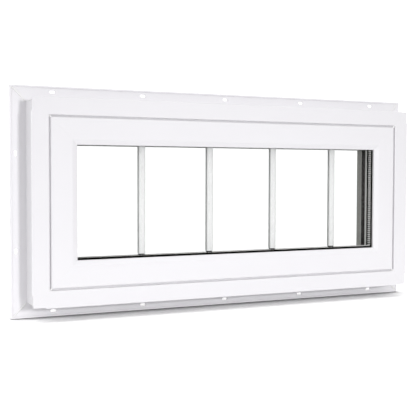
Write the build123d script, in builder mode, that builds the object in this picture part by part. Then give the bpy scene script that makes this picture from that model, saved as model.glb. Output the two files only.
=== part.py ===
from build123d import *
import os

# Fixed transom window with a nail fin, millimetres.
# X runs to the right along the window, Y runs into the wall, Z is up.
# The back of the nail fin lies on Y = 0 and the weather side looks along -Y.
# X = 0 is the middle of the width, and Z = 0 is level with the bottom edge of the front face.

# Overall form
FACE_WIDTH = 585.0          # front face of the frame, over the outer lips
FACE_HEIGHT = 269.0
FRONT_Y = -46.0             # front plane of frame and sash
ROOM_Y = 20.7               # rearmost plane of the frame
SIGHT = 60.0                # face edge to the daylight opening

# Outer frame
LIP_OVERHANG = 3.5          # front lip beyond the outer wall of the frame
LIP_DEPTH = 3.2
LIP_CUT_LENGTH = 18.0       # lip milled back beside each welded corner
LIP_CUT_DEPTH = 1.4
FRAME_FACE = 22.6           # visible face of the outer frame
FRAME_EASE = 0.6
GROOVE = 2.1                # shadow groove between frame and sash
GROOVE_DEPTH = 4.0
REBATE = 4.0                # step of the frame behind the room stop

# Nail fin and its slots
FIN_REACH = 21.0            # fin beyond the outer wall of the frame
FIN_THICK = 1.6
FIN_RIM_WIDTH = 2.2         # thicker rim along the free edge of the fin
FIN_RIM_THICK = 2.6
FIN_RIM_EASE = 0.5
SLOT_LENGTH = 8.0
SLOT_WIDTH = 3.8
SLOT_INSET = 7.5            # slot centre from the free edge of the fin
SLOT_PITCH = 127.0

# Fixed sash
SASH_EASE = 1.6
BEVEL = 7.5                 # sloping inner edge of the sash
BEVEL_ROUND = 1.2           # where the flat face turns into the bevel
BEVEL_ROUND_DROP = 0.3
LIP_FRONT_Y = -43.0         # sash lip at the glass
LIP_BACK_Y = -39.5
POCKET = 48.0               # wall of the glazing pocket, from the face edge

# Sealed glass unit
PANE = 3.0
GAP = 8.5                   # gas space between the panes
GASKET = 1.5
GLASS_EDGE = 51.0           # edge of the panes, from the face edge
UNIT_LIFT = 2.4             # the unit stands on its setting blocks, so it sits above the middle
GROUND_EDGE = 0.4
SPACER_BACK = 54.0
SPACER_SIGHT = 59.7
BLOCK_LENGTH = 60.0         # setting blocks under the panes
BLOCK_SPACING = 280.0

# Glazing bead, recess and room stop
BEAD_NOSE = 4.0
BEAD_FOOT = 4.0             # foot of the bead, hooked behind the pocket wall
BEAD_FOOT_DROP = 1.5
BEAD_NECK = 3.5             # nose of the bead beyond its neck
BEAD_EASE = 0.6
RECESS = 10.0               # from the bead's nose to the room stop
STOP = 13.0
STOP_WIDTH = 11.0
STOP_EASE = 2.0

# Walls of the hollow extrusions
WALL = 2.0
THIN_WALL = 1.6
WEB = 1.2

# Grid bars between the panes
BAR_COUNT = 4
BAR_WIDTH = 9.6
BAR_THICK = 5.5
BAR_EASE = 0.8
BAR_PITCH = 101.0
BAR_SHIFT = 10.8            # the whole set of bars sits right of the middle
CLIP_HEIGHT = 2.4
CLIP_WIDTH = 8.6
CLIP_THICK = 4.9

# Places that follow from these, as depths Y or as distances inward from the face edge
MID_HEIGHT = FACE_HEIGHT / 2
PANE_1_FRONT = LIP_BACK_Y + GASKET
PANE_1_BACK = PANE_1_FRONT + PANE
PANE_2_FRONT = PANE_1_BACK + GAP
PANE_2_BACK = PANE_2_FRONT + PANE
BEAD_FRONT = PANE_2_BACK + GASKET
FOOT_FRONT = BEAD_FRONT + BEAD_FOOT_DROP
NOSE_BACK = BEAD_FRONT + BEAD_NOSE
LEG_FRONT = NOSE_BACK + RECESS
LEG_BACK = LEG_FRONT + STOP
GROOVE_BACK = FRONT_Y + GROOVE_DEPTH
SASH_START = FRAME_FACE + GROOVE
FOOT_START = POCKET - BEAD_FOOT
NECK = SIGHT - BEAD_NECK
STOP_START = SIGHT - STOP_WIDTH
LEG_END = STOP_START - REBATE
FIN_TIP = LIP_OVERHANG - FIN_REACH
RIM_END = FIN_TIP + FIN_RIM_WIDTH
SLOT_LINE = FIN_TIP + SLOT_INSET

LONG_SLOTS = [SLOT_PITCH * step for step in (-2, -1, 0, 1, 2)]
SHORT_SLOTS = [SLOT_PITCH * step for step in (-0.5, 0.5)]

INWARD = {
    "sill": Vector(0, 0, 1),
    "head": Vector(0, 0, -1),
    "left": Vector(1, 0, 0),
    "right": Vector(-1, 0, 0),
}

os.makedirs("parts", exist_ok=True)


def side_sizes(side):
    """Distance of the face edge from the centre, and half the length of that edge."""
    if side in ("sill", "head"):
        return FACE_HEIGHT / 2, FACE_WIDTH / 2
    return FACE_WIDTH / 2, FACE_HEIGHT / 2


def side_plane(side, lift=0.0):
    """Section plane of one side: local x is depth Y, local y is the distance inward from the face edge."""
    inward = INWARD[side]
    edge, _ = side_sizes(side)
    middle = Vector(0, 0, MID_HEIGHT + lift)
    return Plane(origin=middle - inward * edge, x_dir=(0, 1, 0), z_dir=Vector(0, 1, 0).cross(inward))


def mitred(side, outline, chambers=(), lift=0.0):
    """One mitred length of extrusion.

    The outline lists (inward distance, Y) points. Each chamber is a hollow, given by its
    two inward distances and its two depths.
    """
    plane = side_plane(side, lift)
    _, half = side_sizes(side)
    inward = INWARD[side]
    with BuildPart() as length:
        with BuildSketch(plane):
            with BuildLine():
                Polyline([(y, d) for d, y in outline], close=True)
            make_face()
            for near, far, front, back in chambers:
                with Locations(((front + back) / 2, (near + far) / 2)):
                    Rectangle(back - front, far - near, mode=Mode.SUBTRACT)
        extrude(amount=half + FIN_REACH, both=True)
        for way in (1, -1):
            along = plane.z_dir * way
            split(bisect_by=Plane(origin=plane.origin + along * half, z_dir=along + inward), keep=Keep.BOTTOM)
    return length


FRAME_OUTLINE = [
    (0.0, FRONT_Y + FRAME_EASE),
    (FRAME_EASE, FRONT_Y),
    (FRAME_FACE - FRAME_EASE, FRONT_Y),
    (FRAME_FACE, FRONT_Y + FRAME_EASE),
    (FRAME_FACE, GROOVE_BACK),
    (SASH_START, GROOVE_BACK),
    (SASH_START, LEG_FRONT),
    (STOP_START, LEG_FRONT),
    (STOP_START, LEG_BACK),
    (LEG_END, LEG_BACK),
    (LEG_END, ROOM_Y),
    (LIP_OVERHANG, ROOM_Y),
    (LIP_OVERHANG, 0.0),
    (FIN_TIP, 0.0),
    (FIN_TIP, FIN_RIM_EASE - FIN_RIM_THICK),
    (FIN_TIP + FIN_RIM_EASE, -FIN_RIM_THICK),
    (RIM_END, -FIN_RIM_THICK),
    (RIM_END + FIN_RIM_EASE, -FIN_THICK),
    (LIP_OVERHANG, -FIN_THICK),
    (LIP_OVERHANG, FRONT_Y + LIP_DEPTH),
    (0.0, FRONT_Y + LIP_DEPTH),
]

MIDDLE_WEB = (GROOVE_BACK + LEG_FRONT) / 2
OUTER_WALL = LIP_OVERHANG + WALL
FRAME_CHAMBERS = [
    (OUTER_WALL, FRAME_FACE - WALL, FRONT_Y + WALL, GROOVE_BACK + WALL - WEB),
    (OUTER_WALL, SASH_START - WALL, GROOVE_BACK + WALL, MIDDLE_WEB - WEB / 2),
    (OUTER_WALL, SASH_START - WALL, MIDDLE_WEB + WEB / 2, LEG_FRONT + WALL - WEB),
    (OUTER_WALL, STOP_START - WALL, LEG_FRONT + WALL, LEG_BACK - WALL),
    (OUTER_WALL, LEG_END - WALL, LEG_BACK - WALL + WEB, ROOM_Y - WALL),
]

SASH_OUTLINE = [
    (SASH_START, FRONT_Y + SASH_EASE),
    (SASH_START + SASH_EASE, FRONT_Y),
    (SIGHT - BEVEL, FRONT_Y),
    (SIGHT - BEVEL + BEVEL_ROUND, FRONT_Y + BEVEL_ROUND_DROP),
    (SIGHT, LIP_FRONT_Y),
    (SIGHT, LIP_BACK_Y),
    (POCKET, LIP_BACK_Y),
    (POCKET, FOOT_FRONT),
    (FOOT_START, FOOT_FRONT),
    (FOOT_START, LEG_FRONT),
    (SASH_START, LEG_FRONT),
]

SASH_WEB = (FRONT_Y + FOOT_FRONT) / 2
SASH_CHAMBERS = [
    (SASH_START + WALL, POCKET - WALL, FRONT_Y + WALL, SASH_WEB - WEB / 2),
    (SASH_START + WALL, POCKET - WALL, SASH_WEB + WEB / 2, FOOT_FRONT - WALL),
    (SASH_START + WALL, FOOT_START - WALL, FOOT_FRONT - WALL + WEB, LEG_FRONT - WALL),
]

BEAD_OUTLINE = [
    (FOOT_START, FOOT_FRONT),
    (POCKET, FOOT_FRONT),
    (POCKET, BEAD_FRONT),
    (SIGHT - BEAD_EASE, BEAD_FRONT),
    (SIGHT, BEAD_FRONT + BEAD_EASE),
    (SIGHT, NOSE_BACK),
    (NECK, NOSE_BACK),
    (NECK, LEG_FRONT),
    (FOOT_START, LEG_FRONT),
]

BEAD_CHAMBERS = [
    (FOOT_START + THIN_WALL, NECK - THIN_WALL, FOOT_FRONT + THIN_WALL, LEG_FRONT - THIN_WALL),
]

STOP_OUTLINE = [
    (STOP_START, LEG_FRONT),
    (SIGHT, LEG_FRONT),
    (SIGHT, LEG_BACK - STOP_EASE),
    (SIGHT - STOP_EASE, LEG_BACK),
    (STOP_START, LEG_BACK),
]

STOP_CHAMBERS = [
    (STOP_START + THIN_WALL, SIGHT - STOP_EASE, LEG_FRONT + THIN_WALL, LEG_BACK - STOP_EASE),
]

SPACER_OUTLINE = [
    (SPACER_BACK, PANE_1_BACK),
    (SPACER_SIGHT, PANE_1_BACK),
    (SPACER_SIGHT, PANE_2_FRONT),
    (SPACER_BACK, PANE_2_FRONT),
]


def frame_side(side, slots):
    """Frame length with its fin, nail slots and the lip milled back beside the welded corners."""
    plane = side_plane(side)
    _, half = side_sizes(side)
    with BuildPart() as frame:
        add(mitred(side, FRAME_OUTLINE, FRAME_CHAMBERS).part)
        slot_line = plane.origin + INWARD[side] * SLOT_LINE
        with BuildSketch(Plane(origin=slot_line, x_dir=plane.z_dir, z_dir=(0, 1, 0))):
            with Locations([(place, 0) for place in slots]):
                SlotOverall(SLOT_LENGTH, SLOT_WIDTH)
        extrude(amount=FIN_THICK, both=True, mode=Mode.SUBTRACT)
        lip_line = plane.origin + Vector(0, FRONT_Y, 0)
        with BuildSketch(Plane(origin=lip_line, x_dir=plane.z_dir, z_dir=(0, 1, 0))):
            with Locations((half, 0), (-half, 0)):
                Rectangle(2 * LIP_CUT_LENGTH, 2 * LIP_CUT_DEPTH)
        extrude(amount=LIP_DEPTH, mode=Mode.SUBTRACT)
    return frame


def ring(inner, outer, front, back, lift=0.0):
    """Closed rectangular ring; inner and outer are distances from the face edge."""
    with BuildPart() as hoop:
        with BuildSketch(Plane.XZ.offset(-back)):
            with Locations((0, MID_HEIGHT + lift)):
                Rectangle(FACE_WIDTH - 2 * outer, FACE_HEIGHT - 2 * outer)
                Rectangle(FACE_WIDTH - 2 * inner, FACE_HEIGHT - 2 * inner, mode=Mode.SUBTRACT)
        extrude(amount=back - front)
    return hoop


def pane(front):
    """Sheet of glass with ground edges."""
    with BuildPart() as sheet:
        with BuildSketch(Plane.XZ.offset(-(front + PANE))):
            with Locations((0, MID_HEIGHT + UNIT_LIFT)):
                Rectangle(FACE_WIDTH - 2 * GLASS_EDGE, FACE_HEIGHT - 2 * GLASS_EDGE)
        extrude(amount=PANE)
        chamfer(sheet.edges().filter_by(Axis.Y, reverse=True), length=GROUND_EDGE)
    return sheet


def upright(x, bottom, top, width, thick):
    """Straight upright piece in the middle of the gas space."""
    with BuildPart() as piece:
        with BuildSketch(Plane.XY.offset(bottom)):
            with Locations((x, (PANE_1_BACK + PANE_2_FRONT) / 2)):
                Rectangle(width, thick)
        extrude(amount=top - bottom)
    return piece


def grid_bar(x):
    """Flat bar with its long edges eased."""
    with BuildPart() as bar:
        add(upright(x, BAR_BOTTOM, BAR_TOP, BAR_WIDTH, BAR_THICK).part)
        chamfer(bar.edges().filter_by(Axis.Z), length=BAR_EASE)
    return bar


def save(name, piece):
    piece.part.label = name
    export_step(piece.part, "parts/" + name + ".step")


# Welded outer frame with its integral nail fin
save("frame_head", frame_side("head", LONG_SLOTS))
save("frame_sill", frame_side("sill", LONG_SLOTS))
save("frame_jamb_left", frame_side("left", SHORT_SLOTS))
save("frame_jamb_right", frame_side("right", SHORT_SLOTS))

# Fixed sash that carries the glass unit, beads that hold the unit from the room side, spacers and room stops
for side, place in (("head", "top"), ("sill", "bottom"), ("left", "left"), ("right", "right")):
    save("sash_" + place, mitred(side, SASH_OUTLINE, SASH_CHAMBERS))
    save("glazing_bead_" + place, mitred(side, BEAD_OUTLINE, BEAD_CHAMBERS))
    save("spacer_" + place, mitred(side, SPACER_OUTLINE, lift=UNIT_LIFT))
    save("room_stop_" + place, mitred(side, STOP_OUTLINE, STOP_CHAMBERS))

# Glass, its gaskets, the edge seal and the seal in the recess
save("glass_outer", pane(PANE_1_FRONT))
save("glass_inner", pane(PANE_2_FRONT))
save("gasket_outer", ring(SPACER_SIGHT, GLASS_EDGE, LIP_BACK_Y, PANE_1_FRONT))
save("gasket_inner", ring(SPACER_SIGHT, GLASS_EDGE, PANE_2_BACK, BEAD_FRONT))
save("edge_seal", ring(SPACER_BACK, GLASS_EDGE, PANE_1_BACK, PANE_2_FRONT, lift=UNIT_LIFT))
save("reveal_seal", ring(SIGHT - 0.5, NECK, NOSE_BACK, LEG_FRONT))

# Blocks that carry the glass in the pocket of the bottom sash piece
for number, x in ((1, -BLOCK_SPACING / 2), (2, BLOCK_SPACING / 2)):
    with BuildPart() as block:
        with BuildSketch(Plane.XY.offset(POCKET)):
            with Locations((x, (PANE_1_FRONT + PANE_2_BACK) / 2)):
                Rectangle(BLOCK_LENGTH, PANE_2_BACK - PANE_1_FRONT)
        extrude(amount=GLASS_EDGE + UNIT_LIFT - POCKET)
    save("setting_block_" + str(number), block)

# Grid bars in the gas space, each held by a clip at the bottom and the top spacer
CLIP_BOTTOM = SPACER_SIGHT + UNIT_LIFT
CLIP_TOP = FACE_HEIGHT - SPACER_SIGHT + UNIT_LIFT
BAR_BOTTOM = CLIP_BOTTOM + CLIP_HEIGHT
BAR_TOP = CLIP_TOP - CLIP_HEIGHT
for index in range(BAR_COUNT):
    number = str(index + 1)
    x = (index - (BAR_COUNT - 1) / 2) * BAR_PITCH + BAR_SHIFT
    save("grid_bar_" + number, grid_bar(x))
    save("grid_clip_bottom_" + number, upright(x, CLIP_BOTTOM, BAR_BOTTOM, CLIP_WIDTH, CLIP_THICK))
    save("grid_clip_top_" + number, upright(x, BAR_TOP, CLIP_TOP, CLIP_WIDTH, CLIP_THICK))
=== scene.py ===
# %% [markdown]
# A fixed transom window: a low, wide vinyl frame with a nail fin all round, a sash welded up from four
# mitred lengths, and a sealed glass unit with white grid bars inside it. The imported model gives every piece
# its real size and place, so this file looks after the finish: eased edges, weld beads, the fluted spacer,
# moulded clips, and surfaces that show how each piece was made.

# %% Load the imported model
import math
import random
import bpy
from mathutils import Matrix, Vector


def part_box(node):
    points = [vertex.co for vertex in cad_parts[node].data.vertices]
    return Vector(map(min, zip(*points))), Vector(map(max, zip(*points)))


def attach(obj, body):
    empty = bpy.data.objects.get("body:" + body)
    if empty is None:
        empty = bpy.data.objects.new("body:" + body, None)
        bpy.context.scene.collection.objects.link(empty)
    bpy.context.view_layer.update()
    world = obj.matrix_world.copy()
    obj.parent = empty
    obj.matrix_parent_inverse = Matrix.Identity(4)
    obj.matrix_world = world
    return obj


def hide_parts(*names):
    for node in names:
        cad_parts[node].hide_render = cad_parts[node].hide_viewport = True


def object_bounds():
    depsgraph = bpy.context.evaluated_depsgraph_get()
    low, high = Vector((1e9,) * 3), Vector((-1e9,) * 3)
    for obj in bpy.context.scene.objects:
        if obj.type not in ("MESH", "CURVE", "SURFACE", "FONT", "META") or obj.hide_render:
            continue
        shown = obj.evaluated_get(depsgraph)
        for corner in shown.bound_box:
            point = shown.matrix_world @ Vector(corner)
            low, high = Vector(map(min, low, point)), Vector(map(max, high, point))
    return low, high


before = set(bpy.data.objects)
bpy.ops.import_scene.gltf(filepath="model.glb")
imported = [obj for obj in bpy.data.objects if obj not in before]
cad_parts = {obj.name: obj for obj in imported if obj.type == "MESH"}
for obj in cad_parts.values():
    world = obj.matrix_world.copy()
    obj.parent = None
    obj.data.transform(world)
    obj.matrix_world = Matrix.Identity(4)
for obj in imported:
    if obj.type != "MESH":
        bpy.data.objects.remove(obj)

BODY = "root"
MM = 0.001
cad_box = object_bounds()
print("CAD box", [round(v, 4) for corner in cad_box for v in corner])

# %% [markdown]
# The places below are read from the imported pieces, so the finish follows them if they ever change. The sill
# and the head give the outline of the fin, the whole depth and the middle height. The panes give the gas
# space between them.

# %% Places that the finish needs
fin_low, fin_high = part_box("frame_sill")
_, head_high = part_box("frame_head")
outer_pane_low, outer_pane_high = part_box("glass_outer")
inner_pane_low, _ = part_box("glass_inner")

front_y = fin_low.y
room_y = fin_high.y
middle_z = (fin_low.z + head_high.z) / 2
gas_front_y = outer_pane_high.y
gas_back_y = inner_pane_low.y
print("gas space", round(gas_front_y, 4), round(gas_back_y, 4), "middle height", round(middle_z, 4))

# %% [markdown]
# The camera stands to the left of the window and a little above its middle, at the distance of a product
# picture. Its lens is long, so the window narrows only a little towards the far end. The aim is a point on
# the front face left of its middle, because the window sits to the right of the picture's centre line.

# %% Camera
PICTURE_SIDE = 416
SENSOR = 36.0
FOCAL_PIXELS = 830.0
YAW = math.radians(25.25)
PITCH = math.radians(2.395)
ROLL = math.radians(0.142)
DISTANCE = 1.1446
AIM_X = -0.0481
AIM_BELOW_MIDDLE = 0.0095
CLIP_START = 0.05
CLIP_END = 50.0

aim = Vector((AIM_X, front_y, middle_z - AIM_BELOW_MIDDLE))
looking = Vector((math.sin(YAW) * math.cos(PITCH), math.cos(YAW) * math.cos(PITCH), -math.sin(PITCH)))

camera = bpy.data.objects.new("camera", bpy.data.cameras.new("camera"))
bpy.context.scene.collection.objects.link(camera)
camera.data.sensor_width = SENSOR
camera.data.lens = SENSOR * FOCAL_PIXELS / PICTURE_SIDE
camera.data.clip_start = CLIP_START
camera.data.clip_end = CLIP_END
camera.location = aim - looking * DISTANCE
turn = looking.to_track_quat("-Z", "Y").to_euler()
turn.rotate_axis("Z", ROLL)
camera.rotation_euler = turn
bpy.context.scene.camera = camera
print("camera", [round(v, 3) for v in camera.location], "lens", round(camera.data.lens, 2))

# %% [markdown]
# The table, the room and every finish are built from shader nodes. Three helpers keep that short. One sets
# or links the inputs of a node, one adds a node with its settings, and one takes a single math step.

# %% Helpers for nodes
def fill(tree, node, values):
    """Set or link a node's inputs: a socket is linked, anything else is a plain value."""
    for label, value in values.items():
        if isinstance(value, bpy.types.NodeSocket):
            tree.links.new(value, node.inputs[label])
        else:
            node.inputs[label].default_value = value


def add(tree, kind, values=None, **settings):
    """A new node with its settings made and its inputs filled."""
    node = tree.nodes.new(kind)
    for name, value in settings.items():
        setattr(node, name, value)
    fill(tree, node, values or {})
    return node


def calculate(tree, operation, first, second=0.0):
    """One math step on two numbers or sockets."""
    return add(tree, "ShaderNodeMath", {0: first, 1: second}, operation=operation).outputs[0]


print("helpers:", fill.__name__, add.__name__, calculate.__name__)

# %% [markdown]
# A product picture leaves two things out: lamps that mirror in the glass, and grey behind it. The table and
# the surroundings are told what kind of ray meets them. Two masks say so, and both places take them from
# one helper.

# %% What a ray is
NO_BOUNCE = 0.5             # a count of bounces under this is none


def ray_masks(tree):
    """The ray's node, a mask of light straight through the panes, and one of light that a pane mirrored."""
    path = add(tree, "ShaderNodeLightPath")
    bounced = calculate(tree, "ADD", path.outputs["Diffuse Depth"], path.outputs["Glossy Depth"])
    unbounced = calculate(tree, "LESS_THAN", bounced, NO_BOUNCE)
    through = calculate(tree, "MULTIPLY", path.outputs["Is Transmission Ray"], unbounced)
    first_hit = calculate(tree, "MULTIPLY", path.outputs["Is Glossy Ray"], path.outputs["Is Singular Ray"])
    passed_on = calculate(tree, "MULTIPLY", path.outputs["Is Transmission Ray"], path.outputs["Glossy Depth"])
    either = calculate(tree, "MAXIMUM", first_hit, passed_on)
    unscattered = calculate(tree, "LESS_THAN", path.outputs["Diffuse Depth"], NO_BOUNCE)
    return path, through, calculate(tree, "MULTIPLY", either, unscattered)


def choose(tree, mask, otherwise, chosen):
    """Mix two shaders, with the chosen one where the mask is 1."""
    return add(tree, "ShaderNodeMixShader", {"Fac": mask, 1: otherwise, 2: chosen}).outputs[0]


print("masks for light through the panes and light mirrored by one")

# %% [markdown]
# The set round the window has two flat sheets, the table and a scrim. They are cut by one helper, and a
# second one gives each a material that starts with nothing but its output, because neither is a usual
# surface. The picture is shown without any film look, so that a tone stays what the light makes of it.

# %% Sheets of the set
scene = bpy.context.scene
scene.view_settings.view_transform = "Standard"
scene.view_settings.look = "None"


def sheet(name, place, sides, turned=(0, 0, 0)):
    """A flat sheet of the set, at its size and place."""
    bpy.ops.object.select_all(action="DESELECT")
    bpy.ops.mesh.primitive_plane_add(size=1.0, location=place, rotation=turned)
    made = bpy.context.active_object
    made.name = name
    made.scale = sides
    bpy.ops.object.transform_apply(location=True, rotation=True, scale=True)
    return made


def bare_material(name, piece):
    """A material on a piece, with nothing in it but its output. Gives its nodes and that output's socket."""
    material = bpy.data.materials.new(name)
    material.use_nodes = True
    tree = material.node_tree
    tree.nodes.remove(tree.nodes["Principled BSDF"])
    piece.data.materials.append(material)
    return tree, tree.nodes["Material Output"].inputs["Surface"]


print("picture shown as", scene.view_settings.view_transform)

# %% [markdown]
# White pieces on white need light that comes mostly from everywhere, so that each face keeps a tone of its
# own. The window stands on the lower edge of its fin on a white table. The table ends not far in front of it,
# so it throws more light up on the lower faces than on the upper ones. A picture that is exposed for the
# window burns the table out to plain white, and leaves it dark only close under the fin. The camera's own
# rays therefore find a whiter table, which an occlusion node darkens near the window.

# %% Table
FLOOR_GAP = 0.3 * MM
FLOOR_SIZE = Vector((2.2, 1.3, 1.0))
FLOOR_WHITE = 0.93
EXPOSED_WHITE = 1.25
CONTACT_REACH = 22 * MM
CONTACT_DEPTH = 2.0
CONTACT_SAMPLES = 8
MIRRORED_LEVEL = 0.01
BACKDROP_LEVEL = 1.3

floor = sheet("floor", (0, 0, cad_box[0].z - FLOOR_GAP), FLOOR_SIZE)

table, surface = bare_material("white table", floor)
path, through, mirrored = ray_masks(table)
openness = add(table, "ShaderNodeAmbientOcclusion", {"Distance": CONTACT_REACH}, samples=CONTACT_SAMPLES)
darkened = calculate(table, "POWER", openness.outputs["AO"], CONTACT_DEPTH)
exposed = calculate(table, "MULTIPLY", darkened, EXPOSED_WHITE)
difference = calculate(table, "SUBTRACT", exposed, FLOOR_WHITE)
added = calculate(table, "MULTIPLY", path.outputs["Is Camera Ray"], difference)
paper = add(table, "ShaderNodeBsdfDiffuse", {"Color": calculate(table, "ADD", added, FLOOR_WHITE)})
bright = add(table, "ShaderNodeEmission", {"Strength": BACKDROP_LEVEL})
dim = add(table, "ShaderNodeEmission", {"Strength": MIRRORED_LEVEL})
lit = choose(table, mirrored, paper.outputs[0], dim.outputs[0])
table.links.new(choose(table, through, lit, bright.outputs[0]), surface)
print("table at", round(cad_box[0].z - FLOOR_GAP, 4), "with", len(table.nodes), "nodes")

# %% [markdown]
# The room round the table is darker below, and brightest on the left and overhead, where large cards stand
# and hang. What only mirrors in the glass is kept dim, as a photographer keeps lamps out of a pane, and what
# shows behind the glass is plain white.

# %% Surroundings
ROOM_LEVEL = 0.31
LEFT_GAIN = 1.13
UPPER_GAIN = 0.80
BELOW_SHARE = 0.5
HORIZON = 0.1               # half the height of the soft change between below and above
WHITE = (1, 1, 1, 1)

world = bpy.data.worlds.new("studio")
scene.world = world
world.use_nodes = True
sky = world.node_tree

direction = add(sky, "ShaderNodeTexCoord")
parts = add(sky, "ShaderNodeSeparateXYZ", {0: direction.outputs["Generated"]})
rising = add(sky, "ShaderNodeMapRange",
             {"Value": parts.outputs["Z"], "From Min": -HORIZON, "From Max": HORIZON,
              "To Min": BELOW_SHARE, "To Max": 1.0}, interpolation_type="SMOOTHSTEP")
leftward = calculate(sky, "MAXIMUM", calculate(sky, "MULTIPLY", parts.outputs["X"], -LEFT_GAIN), 0.0)
upward = calculate(sky, "MAXIMUM", calculate(sky, "MULTIPLY", parts.outputs["Z"], UPPER_GAIN), 0.0)
with_cards = calculate(sky, "ADD", calculate(sky, "ADD", leftward, upward), ROOM_LEVEL)
level_here = calculate(sky, "MULTIPLY", with_cards, rising.outputs["Result"])

path, through, mirrored = ray_masks(sky)
seen = calculate(sky, "MAXIMUM", path.outputs["Is Camera Ray"], through)
room, mirror, backdrop = (add(sky, "ShaderNodeBackground", {"Color": WHITE, "Strength": strength}).outputs[0]
                          for strength in (level_here, MIRRORED_LEVEL, BACKDROP_LEVEL))
lit = choose(sky, mirrored, room, mirror)
sky.links.new(choose(sky, seen, lit, backdrop), sky.nodes["World Output"].inputs["Surface"])
print("room", ROOM_LEVEL, "left", ROOM_LEVEL + LEFT_GAIN, "overhead", ROOM_LEVEL + UPPER_GAIN)

# %% [markdown]
# The one lamp is a small softbox to the right of the camera, before the middle of the window and nearly level
# with its head. The front lip throws a narrow shadow on the fin to its left and below it, with a soft edge.

# %% Lamp
LAMP_PLACE = Vector((-0.06, -1.55, 0.30))
LAMP_SIDE = 0.16
LAMP_WATTS = 12.2


def keep_from_camera(thing):
    """Light still meets it, but the camera doesn't see it, nor by way of the glass."""
    thing.visible_camera = False
    thing.visible_transmission = False
    thing.visible_glossy = False


lamp = bpy.data.objects.new("softbox", bpy.data.lights.new("softbox", "AREA"))
scene.collection.objects.link(lamp)
lamp.data.size = LAMP_SIDE
lamp.data.energy = LAMP_WATTS
lamp.location = LAMP_PLACE
lamp.rotation_euler = (Vector((0, front_y, middle_z)) - LAMP_PLACE).to_track_quat("-Z", "Y").to_euler()
keep_from_camera(lamp)
print("lamp", [round(v, 2) for v in lamp.location])

# %% [markdown]
# Behind the opening hangs a dark scrim, which only the light meets and the camera doesn't. It keeps most of
# the light off the reveal on the right, and so the steps behind the glass read as dark bands.

# %% Scrim behind the opening
SCRIM_SIZE = Vector((0.50, 0.18, 1.0))
SCRIM_BEHIND = 1.5 * MM
SCRIM_PASSES = 0.2
UPRIGHT = (math.radians(90), 0, 0)

scrim = sheet("scrim", (0, room_y + SCRIM_BEHIND, middle_z), SCRIM_SIZE, UPRIGHT)
keep_from_camera(scrim)

cloth, surface = bare_material("dark gauze", scrim)
holes = add(cloth, "ShaderNodeBsdfTransparent", {"Color": (SCRIM_PASSES, SCRIM_PASSES, SCRIM_PASSES, 1)})
cloth.links.new(holes.outputs[0], surface)
print("scrim", [round(v, 3) for v in scrim.dimensions])

# %% [markdown]
# Surface effects that several materials share are node groups. A group has named inputs, which each
# material sets for itself, and it gives back only masks, colours and heights that vary over the surface.
# The helpers here make a group's sockets, place a group in a material, and add the three kinds of node
# that nearly every effect needs: a noise, a value spread over a new range, and one colour laid over another.

# %% Helpers for node groups
def new_group(name, inputs, outputs):
    """An empty shader group, with its input and output nodes."""
    tree = bpy.data.node_groups.new(name, "ShaderNodeTree")
    for label, kind, value in inputs:
        socket = tree.interface.new_socket(label, in_out="INPUT", socket_type="NodeSocket" + kind)
        if value is not None:
            socket.default_value = value
    for label, kind in outputs:
        tree.interface.new_socket(label, in_out="OUTPUT", socket_type="NodeSocket" + kind)
    return tree, tree.nodes.new("NodeGroupInput"), tree.nodes.new("NodeGroupOutput")


def place_group(tree, group, **values):
    """A group in a material. Its inputs are given by name, with _ for a space."""
    node = tree.nodes.new("ShaderNodeGroup")
    node.node_tree = group
    fill(tree, node, {name.replace("_", " "): value for name, value in values.items()})
    return node


def noise(tree, place, scale, detail, **more):
    """The grey value of a noise texture at a place."""
    values = {"Vector": place, "Scale": scale, "Detail": detail, **more}
    return add(tree, "ShaderNodeTexNoise", values).outputs["Fac"]


def spread(tree, value, low, high, to_low=0.0, to_high=1.0):
    """A value taken from one range to another, and clamped there."""
    values = {"Value": value, "From Min": low, "From Max": high, "To Min": to_low, "To Max": to_high}
    return add(tree, "ShaderNodeMapRange", values, clamp=True).outputs["Result"]


def blend(tree, under, over, mask):
    """Lay a second colour over the first where the mask is strong."""
    return add(tree, "ShaderNodeMix", {"Factor": mask, 6: under, 7: over}, data_type="RGBA").outputs[2]


print("helpers:", new_group.__name__, place_group.__name__, noise.__name__, spread.__name__, blend.__name__)

# %% [markdown]
# Vinyl is pushed through a steel die and pulled off at a steady pace. The die leaves very fine straight
# lines along the length, the puller leaves slow waves, and the cooling skin has a fine grain. One noise
# texture is stretched out along X for the lines, and two others are left even for the waves and the grain.

# %% Group: die lines
STRETCH = (0.004, 1.0, 1.0)
die_lines, entry, leave = new_group(
    "die lines",
    (("Place", "Vector", None), ("Lines", "Float", 700.0), ("Line Depth", "Float", 0.5),
     ("Wave Depth", "Float", 0.2), ("Grain Depth", "Float", 0.12)),
    (("Height", "Float"), ("Streaks", "Float")))
given = entry.outputs
drawn = add(die_lines, "ShaderNodeVectorMath", {0: given["Place"], 1: STRETCH}, operation="MULTIPLY")
lines = noise(die_lines, drawn.outputs[0], given["Lines"], detail=2.0, Roughness=0.7)
waves = noise(die_lines, given["Place"], scale=26.0, detail=1.0)
grain = noise(die_lines, given["Place"], scale=4200.0, detail=2.0)
line_height = calculate(die_lines, "MULTIPLY", lines, given["Line Depth"])
wave_height = calculate(die_lines, "MULTIPLY", waves, given["Wave Depth"])
grain_height = calculate(die_lines, "MULTIPLY", grain, given["Grain Depth"])
height = calculate(die_lines, "ADD", calculate(die_lines, "ADD", line_height, wave_height), grain_height)
fill(die_lines, leave, {"Height": height, "Streaks": lines})
print("group", die_lines.name, len(die_lines.nodes), "nodes")

# %% [markdown]
# No white plastic is one white. The tone drifts a little along a length and from batch to batch. This group
# mixes two close colours by a slow noise, with a second, finer noise so that the change has no plain rhythm.

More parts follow.
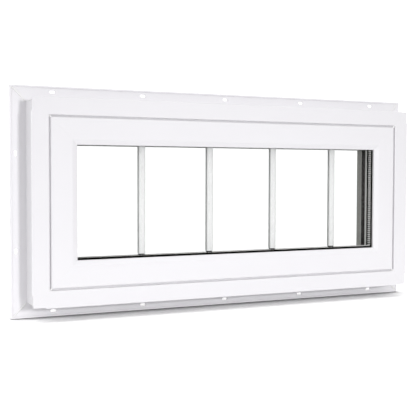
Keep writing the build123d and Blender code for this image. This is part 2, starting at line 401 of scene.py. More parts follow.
# %% Group: tone drift
FINE_SHARE = 0.25
tone_drift, entry, leave = new_group(
    "tone drift",
    (("Place", "Vector", None), ("Size", "Float", 9.0), ("Pale", "Color", WHITE),
     ("Deep", "Color", (0.9, 0.9, 0.9, 1))),
    (("Colour", "Color"), ("Mask", "Float")))
given = entry.outputs
slow = noise(tone_drift, given["Place"], given["Size"], detail=3.0)
fine = noise(tone_drift, given["Place"], scale=160.0, detail=2.0)
both = add(tone_drift, "ShaderNodeMix", {"Factor": FINE_SHARE, "A": slow, "B": fine}, data_type="FLOAT")
drift = spread(tone_drift, both.outputs["Result"], low=0.35, high=0.65)
fill(tone_drift, leave, {"Colour": blend(tone_drift, given["Pale"], given["Deep"], drift), "Mask": drift})
print("group", tone_drift.name, len(tone_drift.nodes), "nodes")

# %% [markdown]
# Corners rub against everything in the workshop and in the carton, so they are smoother and a touch paler than
# the faces. On the vinyl the paler edge is also a painted highlight, where the rounded edges would catch the
# light. A Bevel node gives the normal of a rounded edge, and where that leaves the true normal there is an
# edge. A noise breaks the mask up, so that the rub is not a drawn line.

# %% Group: rubbed edges
rubbed_edges, entry, leave = new_group(
    "rubbed edges",
    (("Place", "Vector", None), ("Radius", "Float", 0.8 * MM), ("Breakup", "Float", 400.0)),
    (("Mask", "Float"),))
given = entry.outputs
rounded = add(rubbed_edges, "ShaderNodeBevel", {"Radius": given["Radius"]}, samples=4)
true_normal = add(rubbed_edges, "ShaderNodeNewGeometry")
agree = add(rubbed_edges, "ShaderNodeVectorMath",
            {0: rounded.outputs["Normal"], 1: true_normal.outputs["Normal"]}, operation="DOT_PRODUCT")
edge = spread(rubbed_edges, agree.outputs["Value"], low=0.995, high=0.90)
specks = noise(rubbed_edges, given["Place"], given["Breakup"], detail=2.0)
uneven = spread(rubbed_edges, specks, low=0.35, high=0.6)
fill(rubbed_edges, leave, {"Mask": calculate(rubbed_edges, "MULTIPLY", edge, uneven)})
print("group", rubbed_edges.name, len(rubbed_edges.nodes), "nodes")

# %% [markdown]
# Two light effects finish the groups. Dust settles where a surface looks up, a little more in some places
# than in others. Hands and cloths leave wide, faint patches that change only how glossy a surface is.

# %% Groups: settled dust and wiped patches
settled_dust, entry, leave = new_group(
    "settled dust", (("Place", "Vector", None), ("Amount", "Float", 0.3)), (("Mask", "Float"),))
given = entry.outputs
facing = add(settled_dust, "ShaderNodeNewGeometry")
facing_up = add(settled_dust, "ShaderNodeSeparateXYZ", {0: facing.outputs["Normal"]}).outputs["Z"]
ledge = spread(settled_dust, facing_up, low=0.6, high=1.0)
flecks = noise(settled_dust, given["Place"], scale=900.0, detail=4.0)
thick = calculate(settled_dust, "MULTIPLY", flecks, given["Amount"])
fill(settled_dust, leave, {"Mask": calculate(settled_dust, "MULTIPLY", thick, ledge)})

wiped_patches, entry, leave = new_group(
    "wiped patches",
    (("Place", "Vector", None), ("Size", "Float", 18.0), ("Low", "Float", 0.4), ("High", "Float", 0.5)),
    (("Value", "Float"),))
given = entry.outputs
patches = noise(wiped_patches, given["Place"], given["Size"], detail=3.0, Distortion=0.2)
gloss = spread(wiped_patches, patches, low=0.35, high=0.65, to_low=given["Low"], to_high=given["High"])
fill(wiped_patches, leave, {"Value": gloss})
print("groups", settled_dust.name, "and", wiped_patches.name)

# %% [markdown]
# Every finish below starts in the same way: a Principled shader with its plain values, and the place of
# each point read from Object coordinates, because every piece keeps its place in its mesh. A Mapping
# node turns that place, so that the stretched direction X runs along an upright length as well.

# %% Helpers for materials
LYING = (0.0, 0.0, 0.0)
STANDING = (0.0, math.radians(90), 0.0)


def new_material(name, turned, **plain):
    """A material with its shader's plain values set, and the place that its patterns read."""
    material = bpy.data.materials.new(name)
    material.use_nodes = True
    tree = material.node_tree
    shader = tree.nodes["Principled BSDF"]
    fill(tree, shader, {label.replace("_", " "): value for label, value in plain.items()})
    where = add(tree, "ShaderNodeTexCoord")
    place = add(tree, "ShaderNodeMapping", {"Vector": where.outputs["Object"], "Rotation": turned})
    return material, tree, shader, place.outputs["Vector"]


def toned(tone, gain=1.0, most=1.0):
    """A tone as a full colour, brighter by the gain but in no channel over the most."""
    return (*(min(channel * gain, most) for channel in tone), 1)


def drifting(tree, place, pale, deep, **values):
    """The colour of the tone drift group between two tones."""
    node = place_group(tree, tone_drift, Place=place, Pale=toned(pale), Deep=toned(deep), **values)
    return node.outputs["Colour"]


def rubbed(tree, place, **values):
    """The mask of the rubbed edges group."""
    return place_group(tree, rubbed_edges, Place=place, **values).outputs["Mask"]


def wiped(tree, place, gloss, **values):
    """A roughness that the wiped patches group varies between two values."""
    node = place_group(tree, wiped_patches, Place=place, Low=gloss[0], High=gloss[1], **values)
    return node.outputs["Value"]


def dress(tree, shader, colour, roughness, height, depth):
    """Feed a shader its colour, its roughness and a height as bump. The depth is in metres."""
    bump = add(tree, "ShaderNodeBump", {"Height": height, "Distance": depth})
    fill(tree, shader, {"Base Color": colour, "Roughness": roughness, "Normal": bump.outputs["Normal"]})


print("patterns turn by", math.degrees(STANDING[1]), "degrees on upright lengths")

# %% [markdown]
# Frame, sash, beads and stops are the same kind of vinyl. The frame, the sash and the beads are white, and the
# frame and the sash have a faint cool cast. The stops are light grey, which is painted shade for the deep
# reveal where they stand. The finish could be one material for all, but its die lines have to follow each
# length, and the pieces come from different dies and batches. So one function makes it, once for lying and once
# for standing lengths. The fin stands back behind the faces and gets less light there, so its colour is painted
# a little paler, as painted light, and a ramp over the depth Y says where it is.

# %% Vinyl
DUST = (0.62, 0.60, 0.57)
DUST_AMOUNT = 0.10
FIN_PAINTED_LIGHT_START = -5 * MM
FIN_PAINTED_LIGHT_FULL = -3 * MM
FIN_PAINTED_LIGHT = 1.06
RUB_RADIUS = 0.7 * MM
RUB_PALER_AND_HIGHLIGHT = 1.12
RUB_PALEST_AND_HIGHLIGHT = 0.9
RUB_SMOOTHER = 0.08
VINYL_GLOSS = (0.30, 0.35)
VINYL_SPECULAR = 0.35
DIE_DEPTH = 0.02 * MM


def vinyl(name, pale, deep, turned, lines):
    """Extruded vinyl, with its die lines along X or, when turned, along Z."""
    material, tree, shader, place = new_material(name, turned, Specular_IOR_Level=VINYL_SPECULAR)
    rub = rubbed(tree, place, Radius=RUB_RADIUS)
    # the paler edge is partly rubbed wear and partly a painted highlight on the rounded edges
    colour = blend(tree, drifting(tree, place, pale, deep), toned(pale, RUB_PALER_AND_HIGHLIGHT, RUB_PALEST_AND_HIGHLIGHT), rub)
    depth = add(tree, "ShaderNodeSeparateXYZ", {0: place}).outputs["Y"]
    # painted light: the fin gets less light behind the faces, so it is painted a little paler
    colour = blend(tree, colour, toned(pale, FIN_PAINTED_LIGHT), spread(tree, depth, FIN_PAINTED_LIGHT_START, FIN_PAINTED_LIGHT_FULL))
    layer = place_group(tree, settled_dust, Place=place, Amount=DUST_AMOUNT)
    colour = blend(tree, colour, toned(DUST), layer.outputs["Mask"])
    smoother = calculate(tree, "MULTIPLY", rub, RUB_SMOOTHER)
    roughness = calculate(tree, "SUBTRACT", wiped(tree, place, VINYL_GLOSS), smoother)
    marks = place_group(tree, die_lines, Place=place, Lines=lines)
    dress(tree, shader, colour, roughness, marks.outputs["Height"], DIE_DEPTH)
    return material


# For each kind: the pale and the deep tone, and the die lines per metre.
VINYLS = {
    "frame": ((0.670, 0.661, 0.683), (0.663, 0.654, 0.676), 700.0),
    "sash": ((0.674, 0.665, 0.687), (0.667, 0.658, 0.680), 760.0),
    "glazing": ((0.88, 0.88, 0.865), (0.85, 0.85, 0.835), 900.0),
    # the stops' light grey is painted shade: the stops are white vinyl that read dark in the shade of the
    # reveal
    "room": ((0.52, 0.52, 0.495), (0.50, 0.50, 0.475), 800.0),
}
finishes = {}
for kind, (pale, deep, lines_per_metre) in VINYLS.items():
    finishes[kind, "lying"] = vinyl(kind + " vinyl lying", pale, deep, LYING, lines_per_metre)
    finishes[kind, "standing"] = vinyl(kind + " vinyl standing", pale, deep, STANDING, lines_per_metre)
print("vinyl finishes", len(finishes))

# %% [markdown]
# Where the hot ends are pressed together, vinyl wells up and sets with a rough, slightly creamy skin. It has
# no die lines, so its bump is an uneven noise instead.

# %% Weld vinyl
LUMP_RUB_RADIUS = 0.3 * MM
LUMP_RUB_GAIN = 1.5
LUMP_RUB_LIFT = 0.004
LUMP_RUB_PALEST = 0.85
LUMPS_PER_DRIFT = 4
LUMPS_PER_PATCH = 3


def lumpy(name, pale, deep, lump_scale, depth, gloss, specular):
    """A skin without direction, for welds, sealant, rubber and moulded pieces."""
    material, tree, shader, place = new_material(name, LYING, Specular_IOR_Level=specular)
    rub = rubbed(tree, place, Radius=LUMP_RUB_RADIUS)
    edge_tone = tuple(min(channel * LUMP_RUB_GAIN + LUMP_RUB_LIFT, LUMP_RUB_PALEST) for channel in pale)
    tone = drifting(tree, place, pale, deep, Size=lump_scale / LUMPS_PER_DRIFT)
    lumps = noise(tree, place, lump_scale, detail=4.0)
    roughness = wiped(tree, place, gloss, Size=lump_scale / LUMPS_PER_PATCH)
    dress(tree, shader, blend(tree, tone, toned(edge_tone), rub), roughness, lumps, depth)
    return material


finishes["weld"] = lumpy("weld vinyl", (0.74, 0.735, 0.74), (0.70, 0.695, 0.69), lump_scale=1500.0,
                         depth=0.15 * MM, gloss=(0.35, 0.55), specular=0.35)
print("weld finish", finishes["weld"].name)

# %% [markdown]
# Gaskets are black rubber with a dull bloom. The edge seal is black sealant, trowelled and lumpy, and the seal
# in the recess is a softer, paler one; its dark tone is partly the seal's own colour and partly painted shade
# for the deep recess. The setting blocks and the clips are moulded, and so have an even skin. All of them take
# the same helper with their own tones, sizes and depths.

# %% Rubber, sealant, blocks and clips
# For each finish: its name, the pale and the deep tone, lumps per metre, their depth, the range of the
# roughness, and the specular level.
LUMPY = {
    "gasket": ("gasket rubber", (0.003, 0.003, 0.003), (0.007, 0.007, 0.0065),
               1900.0, 0.05 * MM, (0.6, 0.8), 0.12),
    "seal": ("edge sealant", (0.005, 0.0045, 0.004), (0.012, 0.011, 0.010),
             600.0, 0.3 * MM, (0.55, 0.75), 0.15),
    # dark seal, whose tone is also painted shade for the deep recess
    "recess": ("recess seal with painted shade", (0.018, 0.016, 0.015), (0.042, 0.038, 0.034),
               900.0, 0.12 * MM, (0.6, 0.8), 0.2),
    "block": ("setting block rubber", (0.055, 0.057, 0.062), (0.035, 0.036, 0.040),
              1200.0, 0.05 * MM, (0.55, 0.7), 0.35),
    "clip": ("moulded clip", (0.075, 0.075, 0.072), (0.055, 0.055, 0.053),
             1600.0, 0.03 * MM, (0.4, 0.55), 0.45),
}
for kind, values in LUMPY.items():
    finishes[kind] = lumpy(*values)
print("lumpy finishes", list(LUMPY))

# %% [markdown]
# The grid bars are rolled from strip and coated with white enamel. Enamel lies smoother than vinyl, with a soft
# ripple like citrus peel, and it thins out on the bends, where the grey metal shows a hint. The narrow sides
# are painted greyer, which is painted shade: less light falls on them than on the fronts. The direction that
# the surface faces picks them out.

# %% Grid enamel
ENAMEL_PALE = (0.93, 0.93, 0.93)
ENAMEL_DEEP = (0.91, 0.91, 0.915)
BARE_METAL = (0.6, 0.6, 0.6)
NARROW_SIDE_SHADE = (0.60, 0.60, 0.60)
BARE_SHARE = 0.35
ENAMEL_GLOSS = (0.26, 0.36)
PEEL_DEPTH = 0.03 * MM

enamel, tree, shader, place = new_material("grid enamel", STANDING, Specular_IOR_Level=0.5)
thin = calculate(tree, "MULTIPLY", rubbed(tree, place, Radius=0.25 * MM, Breakup=900.0), BARE_SHARE)
colour = blend(tree, drifting(tree, place, ENAMEL_PALE, ENAMEL_DEEP, Size=30.0), toned(BARE_METAL), thin)
facing = add(tree, "ShaderNodeNewGeometry")
sideways = add(tree, "ShaderNodeSeparateXYZ", {0: facing.outputs["True Normal"]})
narrow = spread(tree, calculate(tree, "ABSOLUTE", sideways.outputs["X"]), low=0.5, high=0.9)
peel = noise(tree, place, scale=520.0, detail=1.0)
# painted shade: the narrow sides of the bars are made greyer than the fronts
dress(tree, shader, blend(tree, colour, toned(NARROW_SIDE_SHADE), narrow),
      wiped(tree, place, ENAMEL_GLOSS, Size=40.0), peel, PEEL_DEPTH)
finishes["enamel"] = enamel
print("enamel", len(tree.nodes), "nodes")

# %% [markdown]
# The spacer's ribbon is thin metal, rolled into flutes so that it bends with the glass. Its shader isn't
# metallic: a pale colour is painted in place of the bright room that the metal would mirror, which is a painted
# reflection. Streaks from rolling run along it and change its gloss, and the crests are rubbed a little paler.

# %% Spacer ribbon metal
# painted reflection: pale colours in place of what the metal would mirror
RIBBON_PALE = (0.95, 0.945, 0.93)
RIBBON_DEEP = (0.86, 0.855, 0.84)
RIBBON_RUBBED = (0.95, 0.95, 0.94)
RIBBON_STREAKS = 2600.0
STREAK_DEPTH = 0.01 * MM


def ribbon_metal(name, turned):
    """Rolled metal with a pale colour painted in place of its reflection, with its streaks along X or, when
    turned, along Z.
    """
    material, tree, shader, place = new_material(name, turned, Metallic=0.0, Specular_IOR_Level=0.5)
    rub = rubbed(tree, place, Radius=0.3 * MM, Breakup=700.0)
    tone = drifting(tree, place, RIBBON_PALE, RIBBON_DEEP, Size=60.0)
    marks = place_group(tree, die_lines, Place=place, Lines=RIBBON_STREAKS, Grain_Depth=0.3)
    roughness = spread(tree, marks.outputs["Streaks"], low=0.0, high=1.0, to_low=0.35, to_high=0.6)
    colour = blend(tree, tone, toned(RIBBON_RUBBED), rub)
    dress(tree, shader, colour, roughness, marks.outputs["Height"], STREAK_DEPTH)
    return material


finishes["ribbon", "lying"] = ribbon_metal("ribbon metal lying", LYING)
finishes["ribbon", "standing"] = ribbon_metal("ribbon metal standing", STANDING)
print("ribbon finishes with", RIBBON_STREAKS, "streaks per metre")

# %% [markdown]
# Clear float glass is nearly colourless, with a trace of green in its depth. It floats flat on molten tin,
# and only a very long, shallow ripple is left, which the bump gives. Transmission and roughness stay plain
# values, and the specular level is low, so that two panes take little light from what stands behind them.

# %% Glass
GLASS_CLEAR = (0.994, 0.999, 0.996)
GLASS_DEEP = (0.990, 0.997, 0.993)
RIPPLE_DEPTH = 0.05 * MM

glass, tree, shader, place = new_material("float glass", LYING, Roughness=0.0, IOR=1.5,
                                          Transmission_Weight=1.0, Specular_IOR_Level=0.2)
ripple = add(tree, "ShaderNodeBump",
             {"Height": noise(tree, place, scale=5.0, detail=1.0), "Distance": RIPPLE_DEPTH})
fill(tree, shader, {"Base Color": drifting(tree, place, GLASS_CLEAR, GLASS_DEEP, Size=7.0),
                    "Normal": ripple.outputs["Normal"]})
finishes["glass"] = glass
print("finishes", len(finishes))

# %% [markdown]
# One helper starts every operator step from a clean state, because the loaded pieces come in selected and an
# operator works on all that is selected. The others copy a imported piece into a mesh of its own, apply a
# modifier, and give a finished piece its body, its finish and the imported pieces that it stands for.

# %% Helpers for pieces
SAME_POINT = 1e-6
SAME_PLANE = math.radians(1.0)


def only(piece):
    """Select one object alone and make it active."""
    bpy.ops.object.select_all(action="DESELECT")
    piece.select_set(True)
    bpy.context.view_layer.objects.active = piece


def duplicate(piece, name):
    """A copy with a mesh of its own."""
    only(piece)
    bpy.ops.object.duplicate()
    copy = bpy.context.active_object
    copy.name = name
    copy.data.name = name
    return copy


def copy_of(node, name):
    """A new piece with its own mesh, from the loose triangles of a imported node."""
    piece = duplicate(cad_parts[node], name)
    for key in [key for key in piece.keys() if key.startswith("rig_")]:
        del piece[key]
    bpy.ops.object.mode_set(mode="EDIT")
    bpy.ops.mesh.select_all(action="SELECT")
    bpy.ops.mesh.remove_doubles(threshold=SAME_POINT)
    bpy.ops.mesh.dissolve_limited(angle_limit=SAME_PLANE)
    bpy.ops.object.mode_set(mode="OBJECT")
    return piece


def apply_modifier(piece, kind, **settings):
    """Add one modifier with its settings and apply it."""
    only(piece)
    modifier = piece.modifiers.new(kind.lower(), kind)
    for name, value in settings.items():
        setattr(modifier, name, value)
    bpy.ops.object.modifier_apply(modifier=modifier.name)


def settle(piece, material, slot_name, *nodes):
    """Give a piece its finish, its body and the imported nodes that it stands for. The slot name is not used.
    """
    piece.data.materials.clear()
    piece.data.materials.append(material)
    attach(piece, BODY)
    if nodes:
        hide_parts(*nodes)


print("helpers for pieces that ride on", BODY)

# %% [markdown]
# An extruded length has small round edges along its run, as the die was cut, and nearly sharp ones at its
# mitres, where the saw went through. So each sharp edge gets a bevel weight: full along the run, a third at
# the mitres, and none round the punched nail slots.

# %% Weights for edges
SHARP = math.radians(25)
SLOT_RIM = 12 * MM
END_SHARE = 0.35
FIN_FRONT_Y = -1.6 * MM
SEAM_SLACK = 0.01 * MM
STRAIGHT = 0.99             # share of an edge's length that lies along one axis
RUNS = {"lying": (0,), "standing": (2,), "ring": (0, 2)}


def weigh_edges(piece, run):
    """Set bevel weights: 1 along the run, less at the cut ends, 0 round punched slots."""
    only(piece)
    bpy.ops.object.mode_set(mode="EDIT")
    bpy.ops.mesh.select_mode(type="EDGE")
    bpy.ops.mesh.select_all(action="DESELECT")
    bpy.ops.mesh.edges_select_sharp(sharpness=SHARP)
    bpy.ops.object.mode_set(mode="OBJECT")
    mesh = piece.data
    weights = [0.0] * len(mesh.edges)
    for edge in mesh.edges:
        first, last = (mesh.vertices[index].co for index in edge.vertices)
        reach = last - first
        flat_on_fin = abs(reach.y) < SEAM_SLACK and FIN_FRONT_Y - SEAM_SLACK < first.y < SEAM_SLACK
        if not edge.select or (flat_on_fin and reach.length < SLOT_RIM):
            continue
        along = any(abs(reach[axis]) > STRAIGHT * reach.length for axis in RUNS[run])
        weights[edge.index] = 1.0 if along else END_SHARE
    mesh.attributes.new("bevel_weight_edge", "FLOAT", "EDGE").data.foreach_set("value", weights)


print("a sharp edge turns by more than", round(math.degrees(SHARP)), "degrees")

# %% [markdown]
# The weights then steer one narrow bevel, and a weighted normal keeps the wide faces flat. The same steps serve
# all the extruded lengths, each with its own finish. Uprights run along Z, and all the others along X.

# %% Vinyl lengths
SMOOTH_UNDER = math.radians(35)
VINYL_EASE = 0.35 * MM


def ease(piece, run, width):
    """Round the edges that have a weight, and keep the wide faces flat in the shading."""
    weigh_edges(piece, run)
    apply_modifier(piece, "BEVEL", width=width, segments=2, limit_method="WEIGHT")
    bpy.ops.object.shade_smooth_by_angle(angle=SMOOTH_UNDER)
    apply_modifier(piece, "WEIGHTED_NORMAL", keep_sharp=True)


SLOTS = {"frame": "frame_vinyl", "sash": "sash_vinyl", "glazing": "bead_vinyl", "room": "stop_vinyl"}
vinyl_nodes = [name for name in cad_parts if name.split("_")[0] in SLOTS]
for name in vinyl_nodes:
    kind = name.split("_")[0]
    run = "standing" if name.endswith(("left", "right")) else "lying"
    length = copy_of(name, name + "_finished")
    ease(length, run, VINYL_EASE)
    settle(length, finishes[kind, run], SLOTS[kind], name)
print("vinyl lengths", len(vinyl_nodes))

# %% [markdown]
# At each corner of the fin the melted vinyl is left as it set, because the cladding hides it: a low, uneven
# ridge along the mitre. A ridge starts as a bar, which is cut into short stretches. Each cut is nudged and
# swollen a little, and subdivision then rounds the whole.

# %% A lumpy ridge
SEED = 11
STRETCHES = 8
UNEVEN = 0.2
random.seed(SEED)


def new_block(name, sides):
    """A block about the origin, left in edit mode with all of it selected."""
    bpy.ops.object.select_all(action="DESELECT")
    bpy.ops.mesh.primitive_cube_add(size=1.0)
    block = bpy.context.active_object
    block.name = name
    block.data.name = name
    bpy.ops.object.mode_set(mode="EDIT")
    bpy.ops.mesh.select_all(action="SELECT")
    bpy.ops.transform.resize(value=sides)
    return block


def weld_ridge(name, start, end, outward, size):
    """A lumpy ridge from start to end, half sunk in the surface whose outward normal is given."""
    width, height = size
    along = (end - start).normalized()
    length = (end - start).length
    ridge = new_block(name, (length, width, 2 * height))
    for station in range(1, STRETCHES):
        x = length * (station / STRETCHES - 0.5)
        bpy.ops.mesh.select_all(action="SELECT")
        bpy.ops.mesh.bisect(plane_co=(x, 0, 0), plane_no=(1, 0, 0))
        wider, taller, aside = (random.uniform(-UNEVEN, UNEVEN) for _ in range(3))
        bpy.ops.transform.resize(value=(1, 1 + wider, 1 + taller), center_override=(x, 0, 0))
        bpy.ops.transform.translate(value=(0, aside * width / 2, 0))
    bpy.ops.object.mode_set(mode="OBJECT")
    apply_modifier(ridge, "SUBSURF", levels=2, render_levels=2)
    ridge.rotation_euler = Matrix((along, outward.cross(along), outward)).transposed().to_euler()
    ridge.location = (start + end) / 2
    bpy.ops.object.transform_apply(location=True, rotation=True, scale=True)
    bpy.ops.object.shade_smooth()
    return ridge


print("ridges are cut into", STRETCHES, "stretches")

# %% [markdown]
# Every corner has its mitre, and each ridge starts and ends on one. So a point is given by its corner, by how
# far it lies inward from the outline of the front face, and by its depth. Outside that outline the distance
# is below zero, as at the outer end of the fin's welds.

# %% Fin welds
FIN_BEYOND_FACE = 17.5 * MM
FIN_WELD_START = 3.2 * MM
FIN_WELD_END = -16.4 * MM
FIN_WELD_SIZE = (2.4 * MM, 0.9 * MM)
TO_FRONT = Vector((0, -1, 0))
CORNERS = {"bottom_left": (-1, -1), "bottom_right": (1, -1), "top_left": (-1, 1), "top_right": (1, 1)}
half_width = fin_high.x - FIN_BEYOND_FACE
half_height = (head_high.z - fin_low.z) / 2 - FIN_BEYOND_FACE


def mitre_point(corner, inward, y):
    """A point on a corner's mitre, a given distance in from the outline of the front face."""
    across, up = CORNERS[corner]
    return Vector((across * (half_width - inward), y, middle_z + up * (half_height - inward)))


for corner in CORNERS:
    ridge = weld_ridge("fin_weld_" + corner, mitre_point(corner, FIN_WELD_START, FIN_FRONT_Y),
                       mitre_point(corner, FIN_WELD_END, FIN_FRONT_Y), TO_FRONT, FIN_WELD_SIZE)
    settle(ridge, finishes["weld"], "frame_vinyl")
print("fin welds, faces in one:", len(ridge.data.polygons))

# %% [markdown]
# A knife runs down the outside of each corner after welding and leaves a thin, trimmed line of flash on
# the wall. In the groove between frame and sash no tool reaches, so there the flash stands like a small dam
# across each corner, nearly up to the face. Both are weld ridges of other sizes.

# %% Trimmed flash and groove dams
WALL_INSET = 3.5 * MM
WALL_FRONT_Y = -42.3 * MM
WALL_BACK_Y = 20.4 * MM
GROOVE_FLOOR_Y = -42.0 * MM
DAM_START = 22.2 * MM
DAM_END = 25.6 * MM
FLASH_SIZE = (1.1 * MM, 0.35 * MM)
DAM_SIZE = (4.0 * MM, 3.7 * MM)

for corner, (across, up) in CORNERS.items():
    outward = Vector((across, 0, up)).normalized()
    for place_name, near, far in (("front", WALL_FRONT_Y, FIN_FRONT_Y), ("back", 0.0, WALL_BACK_Y)):
        flash = weld_ridge("wall_flash_" + place_name + "_" + corner, mitre_point(corner, WALL_INSET, near),
                           mitre_point(corner, WALL_INSET, far), outward, FLASH_SIZE)
        settle(flash, finishes["weld"], "frame_vinyl")
    dam = weld_ridge("groove_dam_" + corner, mitre_point(corner, DAM_START, GROOVE_FLOOR_Y),
                     mitre_point(corner, DAM_END, GROOVE_FLOOR_Y), TO_FRONT, DAM_SIZE)
    settle(dam, finishes["weld"], "sash_vinyl")
print("flash and dams on", len(CORNERS), "corners")

# %% [markdown]
# The spacer that holds the panes apart is a thin metal ribbon, folded into fine flutes and set in black
# butyl. One flute is modelled: a flat cell with a cut across its middle, which is lifted. The cell is
# repeated along the length, its open ends are closed, and the folds are rounded.

# %% A fluted ribbon
FLUTE_PITCH = 3.1 * MM
FLUTE_RISE = 1.3 * MM
RIBBON_THICK = 0.3 * MM
RIBBON_WIDTH = 6.2 * MM
FOLD_EASE = 0.16 * MM
FOLD_OVER = math.radians(15)
FOLD_SMOOTH = math.radians(40)
FACING = 0.9                # share of a face's normal that points along one axis


def choose_faces(piece, wanted):
    """Go from edit mode to edit mode with only the faces selected for which wanted is true."""
    bpy.ops.object.mode_set(mode="OBJECT")
    for face in piece.data.polygons:
        face.select = wanted(face)
    bpy.ops.object.mode_set(mode="EDIT")
    bpy.ops.mesh.select_mode(type="FACE")


def fluted_ribbon(name, length):
    """A ribbon along X, centred on the origin, with its folds rising towards +Z."""
    count = int(length / FLUTE_PITCH)
    pitch = length / count
    ribbon = new_block(name, (pitch, RIBBON_WIDTH, RIBBON_THICK))
    bpy.ops.mesh.bisect(plane_co=(0, 0, 0), plane_no=(1, 0, 0))
    bpy.ops.transform.translate(value=(0, 0, FLUTE_RISE))
    choose_faces(ribbon, lambda face: abs(face.normal.x) > FACING)
    bpy.ops.mesh.delete(type="FACE")
    bpy.ops.object.mode_set(mode="OBJECT")
    apply_modifier(ribbon, "ARRAY", count=count, use_relative_offset=False,
                   use_constant_offset=True, constant_offset_displace=(pitch, 0, 0),
                   use_merge_vertices=True, merge_threshold=SAME_POINT)
    bpy.ops.object.mode_set(mode="EDIT")
    bpy.ops.mesh.select_all(action="SELECT")
    bpy.ops.mesh.fill_holes(sides=4)
    bpy.ops.mesh.select_all(action="SELECT")
    bpy.ops.mesh.normals_make_consistent(inside=False)
    bpy.ops.transform.translate(value=((pitch - length) / 2, 0, 0))
    bpy.ops.object.mode_set(mode="OBJECT")
    apply_modifier(ribbon, "BEVEL", width=FOLD_EASE, segments=2, limit_method="ANGLE", angle_limit=FOLD_OVER)
    bpy.ops.object.shade_smooth_by_angle(angle=FOLD_SMOOTH)
    print(name, count, "flutes,", len(ribbon.data.polygons), "faces")
    return ribbon


print("ribbon", round(RIBBON_WIDTH, 4), "wide, flutes every", round(FLUTE_PITCH, 4))

# %% [markdown]
# Two lengths are made, a long and a short one, and each serves two sides as a copy that is turned until its
# folds look at the middle of the window. The ribbon sinks a little into its bed.

# %% Ribbons on four sides
SUNK = 0.65 * MM
SIGHT_INSET = 59.7 * MM
BEHIND_PANE = 1.2 * MM
QUARTER = math.radians(90)


def twin(piece, name, shift, turned=(0, 0, 0)):
    """A copy that is turned about the origin and then shifted."""
    copy = duplicate(piece, name)
    copy.rotation_euler = turned
    copy.location = shift
    bpy.ops.object.transform_apply(location=True, rotation=True, scale=True)
    return copy


ribbon_y = gas_front_y + BEHIND_PANE + RIBBON_WIDTH / 2
unit_z = (outer_pane_low.z + outer_pane_high.z) / 2
inner_half_width = half_width - SIGHT_INSET
inner_half_height = half_height - SIGHT_INSET
long_ribbon = fluted_ribbon("long_ribbon", 2 * inner_half_width)
short_ribbon = fluted_ribbon("short_ribbon", 2 * inner_half_height)
out = inner_half_width + SUNK
down = inner_half_height + SUNK
ribbons = (
    (twin(long_ribbon, "spacer_ribbon_top", (0, ribbon_y, unit_z + down), (0, 2 * QUARTER, 0)), "lying"),
    (twin(long_ribbon, "spacer_ribbon_bottom", (0, ribbon_y, unit_z - down)), "lying"),
    (twin(short_ribbon, "spacer_ribbon_left", (-out, ribbon_y, unit_z), (0, QUARTER, 0)), "standing"),
    (twin(short_ribbon, "spacer_ribbon_right", (out, ribbon_y, unit_z), (0, -QUARTER, 0)), "standing"),
)
for ribbon, run in ribbons:
    settle(ribbon, finishes["ribbon", run], "spacer_metal")
bpy.data.objects.remove(long_ribbon)
bpy.data.objects.remove(short_ribbon)

# %% [markdown]
# Behind the ribbon the spacer is a bed of black butyl between the panes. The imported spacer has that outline,
# and a copy of it takes the sealant finish.

# %% Butyl bed
BED_EASE = 0.3 * MM
for side in ("top", "bottom", "left", "right"):
    bed = copy_of("spacer_" + side, "spacer_bed_" + side)
    ease(bed, "standing" if side in ("left", "right") else "lying", BED_EASE)
    settle(bed, finishes["seal"], "spacer_metal", "spacer_" + side)
print("last bed", bed.name, len(bed.data.polygons), "faces")

# %% [markdown]
# The bars of the grid are rolled from coated strip, and the two edges of the strip meet in a fine seam down
# the narrow sides. The seam is cut out of one bar by two cuts and an inset, and the bar is then
# copied to its three other places.

# %% Grid bars
SEAM = 0.25 * MM
SEAM_DEPTH = 0.12 * MM
SEAM_LIP = SEAM / 8
BAR_EASE = 0.12 * MM
BAR_BEND = math.radians(50)
bar_nodes = sorted(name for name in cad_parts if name.startswith("grid_bar"))
first_bar = bar_nodes[0]
bar = copy_of(first_bar, first_bar + "_finished")
bar_low, bar_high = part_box(first_bar)
bar_middle_y = (bar_low.y + bar_high.y) / 2
only(bar)
bpy.ops.object.mode_set(mode="EDIT")
for step in (-SEAM / 2, SEAM / 2):
    bpy.ops.mesh.select_all(action="SELECT")
    bpy.ops.mesh.bisect(plane_co=(0, bar_middle_y + step, 0), plane_no=(0, 1, 0))
bpy.ops.mesh.select_mode(type="FACE")
bpy.ops.mesh.select_all(action="DESELECT")
choose_faces(bar, lambda face: abs(face.normal.x) > FACING and abs(face.center.y - bar_middle_y) < SEAM / 4)
bpy.ops.mesh.inset(thickness=SEAM_LIP, depth=-SEAM_DEPTH)
bpy.ops.object.mode_set(mode="OBJECT")
apply_modifier(bar, "BEVEL", width=BAR_EASE, segments=2, limit_method="ANGLE", angle_limit=BAR_BEND)
bpy.ops.object.shade_smooth_by_angle(angle=BAR_BEND)

bar_x = {name: (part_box(name)[0].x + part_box(name)[1].x) / 2 for name in bar_nodes}
others = [twin(bar, name + "_finished", (bar_x[name] - bar_x[first_bar], 0, 0)) for name in bar_nodes[1:]]
for piece, name in zip([bar, *others], bar_nodes):
    settle(piece, finishes["enamel"], "grid_enamel", name)
print("bars at", [round(x, 4) for x in bar_x.values()], "faces", len(bar.data.polygons))

# %% [markdown]
# A moulded clip holds each end of a bar on the spacer. Its foot is a low flange, and a narrower neck pushes
# into the hollow of the bar. The clip is a block whose top is inset and drawn up, with its edges rounded. The
# eight clips are copies, with the upper four turned over.

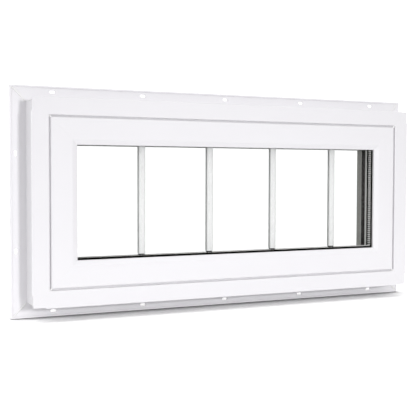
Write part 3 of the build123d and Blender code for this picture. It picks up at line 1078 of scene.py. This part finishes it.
# %% Grid clips
FLANGE = 0.9 * MM
NECK_STEP = 0.5 * MM
CLIP_EASE = 0.15 * MM
CLIP_EDGE = math.radians(40)
clip_low, clip_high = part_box("grid_clip_bottom_1")
clip_size = clip_high - clip_low
clip = new_block("clip", (clip_size.x, clip_size.y, FLANGE))
bpy.ops.transform.translate(value=(0, 0, FLANGE / 2))
choose_faces(clip, lambda face: face.normal.z > FACING)
bpy.ops.mesh.inset(thickness=NECK_STEP)
bpy.ops.mesh.extrude_region_move(TRANSFORM_OT_translate={"value": (0, 0, clip_size.z - FLANGE)})
bpy.ops.object.mode_set(mode="OBJECT")
apply_modifier(clip, "BEVEL", width=CLIP_EASE, segments=2, limit_method="ANGLE", angle_limit=CLIP_EDGE)
bpy.ops.object.shade_smooth_by_angle(angle=SMOOTH_UNDER)

clip_nodes = sorted(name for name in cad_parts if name.startswith("grid_clip"))
for name in clip_nodes:
    low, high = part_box(name)
    upper = "top" in name
    foot = Vector(((low.x + high.x) / 2, (low.y + high.y) / 2, high.z if upper else low.z))
    piece = twin(clip, name + "_finished", foot, (0, 2 * QUARTER, 0) if upper else (0, 0, 0))
    settle(piece, finishes["clip"], "clip_plastic", name)
bpy.data.objects.remove(clip)
print("clips", len(clip_nodes))

# %% [markdown]
# Gaskets and seals are soft, and their edges are rounder than those of the vinyl, so they get a wider ease.
# The setting blocks are harder and stay sharper. Each takes its own rubber or sealant.

# %% Gaskets, seals and blocks
# For each node: how it runs, its finish, its slot in the record, and the width of its eased edges.
SOFT = {
    "gasket_outer": ("ring", "gasket", "gasket", 0.4 * MM),
    "gasket_inner": ("ring", "gasket", "gasket", 0.4 * MM),
    "reveal_seal": ("ring", "recess", "gasket", 0.5 * MM),
    "edge_seal": ("ring", "seal", "sealant", 0.5 * MM),
    "setting_block_1": ("lying", "block", "block_rubber", 0.3 * MM),
    "setting_block_2": ("lying", "block", "block_rubber", 0.3 * MM),
}
for node, (run, finish, slot_name, width) in SOFT.items():
    soft = copy_of(node, node + "_finished")
    ease(soft, run, width)
    settle(soft, finishes[finish], slot_name, node)
print("soft pieces", len(SOFT))

# %% [markdown]
# The two panes are flat, with ground edges. Glass this clear throws hardly any shadow, so the panes
# cast none here, and the lamp reaches the bars and the reveal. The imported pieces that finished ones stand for
# take the same finishes, so that no piece is left bare.

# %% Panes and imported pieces
for name in ("glass_outer", "glass_inner"):
    pane = copy_of(name, name + "_finished")
    pane.visible_shadow = False
    settle(pane, finishes["glass"], "glass", name)

for name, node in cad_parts.items():
    run = "standing" if name.endswith(("left", "right")) else "lying"
    kind = name.split("_")[0]
    if kind in SLOTS:
        finish = finishes[kind, run]
    elif kind == "spacer":
        finish = finishes["seal"]
    elif name in SOFT:
        finish = finishes[SOFT[name][1]]
    elif kind == "glass":
        finish = finishes["glass"]
    else:
        finish = finishes["enamel" if name in bar_nodes else "clip"]
    for material_slot in node.material_slots:
        material_slot.material = finish
print("packed pieces", len(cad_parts))
